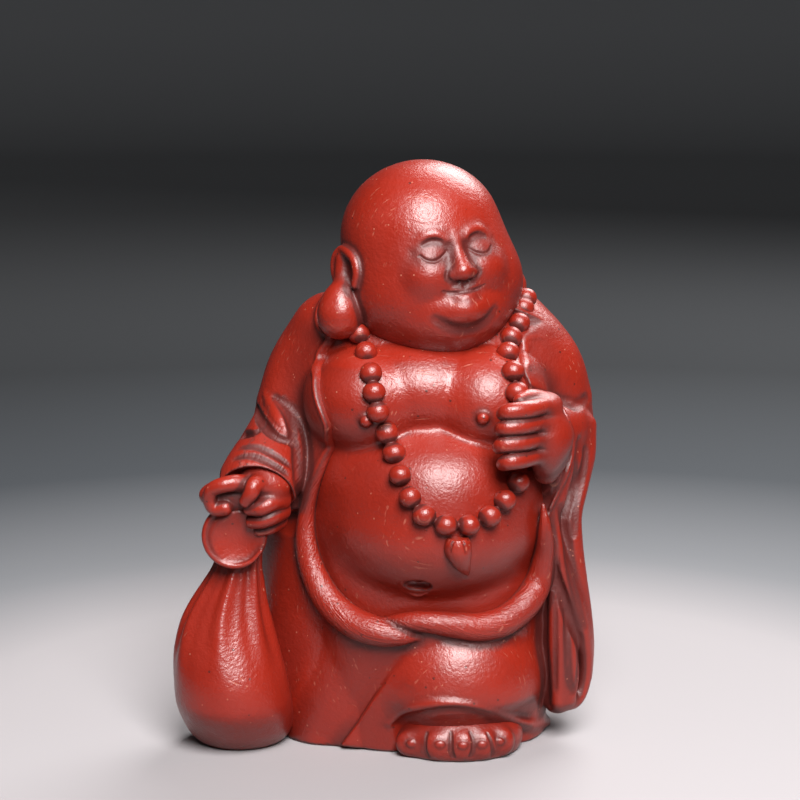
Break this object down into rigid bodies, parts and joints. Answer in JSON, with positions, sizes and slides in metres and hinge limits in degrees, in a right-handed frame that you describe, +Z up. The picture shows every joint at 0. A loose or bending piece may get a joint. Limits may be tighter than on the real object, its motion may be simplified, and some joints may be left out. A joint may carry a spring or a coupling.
{
  "type": "laughing monk tea pet",
  "caption": "Small stoneware figure of a standing, round-bellied monk with a robe, a bead necklace and a sack, which sits on a tea tray.",
  "frame": {"origin": "on the underside of the base slab, at the middle of the hollow body, level with what the figure stands on", "axes": "+Z up through the head, -Y out of the belly towards the viewer, +X towards the figure's own left hand"},
  "size_m": [0.0573, 0.0376, 0.0785],
  "materials": {
    "zisha_clay": "fired red clay, burnished to a soft sheen"
  },
  "bodies": {
    "root": {"body_front": "zisha_clay", "body_back": "zisha_clay", "base_slab": "zisha_clay", "head": "zisha_clay", "right_ear": "zisha_clay", "left_ear": "zisha_clay", "robe_right_front": "zisha_clay", "robe_left_front": "zisha_clay", "skirt_left_panel": "zisha_clay", "waist_roll_right": "zisha_clay", "waist_roll_left": "zisha_clay", "hem_fold": "zisha_clay", "right_sleeve": "zisha_clay", "right_cuff": "zisha_clay", "right_hand": "zisha_clay", "left_sleeve": "zisha_clay", "left_cuff": "zisha_clay", "left_drape": "zisha_clay", "left_hand": "zisha_clay", "sack": "zisha_clay", "sack_mouth": "zisha_clay", "left_foot": "zisha_clay", "bead_01": "zisha_clay", "bead_02": "zisha_clay", "bead_03": "zisha_clay", "bead_04": "zisha_clay", "bead_05": "zisha_clay", "bead_06": "zisha_clay", "bead_07": "zisha_clay", "bead_08": "zisha_clay", "bead_09": "zisha_clay", "bead_10": "zisha_clay", "bead_11": "zisha_clay", "bead_12": "zisha_clay", "bead_13": "zisha_clay", "bead_14": "zisha_clay", "bead_15": "zisha_clay", "bead_16": "zisha_clay", "bead_17": "zisha_clay", "bead_18": "zisha_clay", "bead_19": "zisha_clay", "bead_20": "zisha_clay", "pendant": "zisha_clay"}
  },
  "joints": []
}
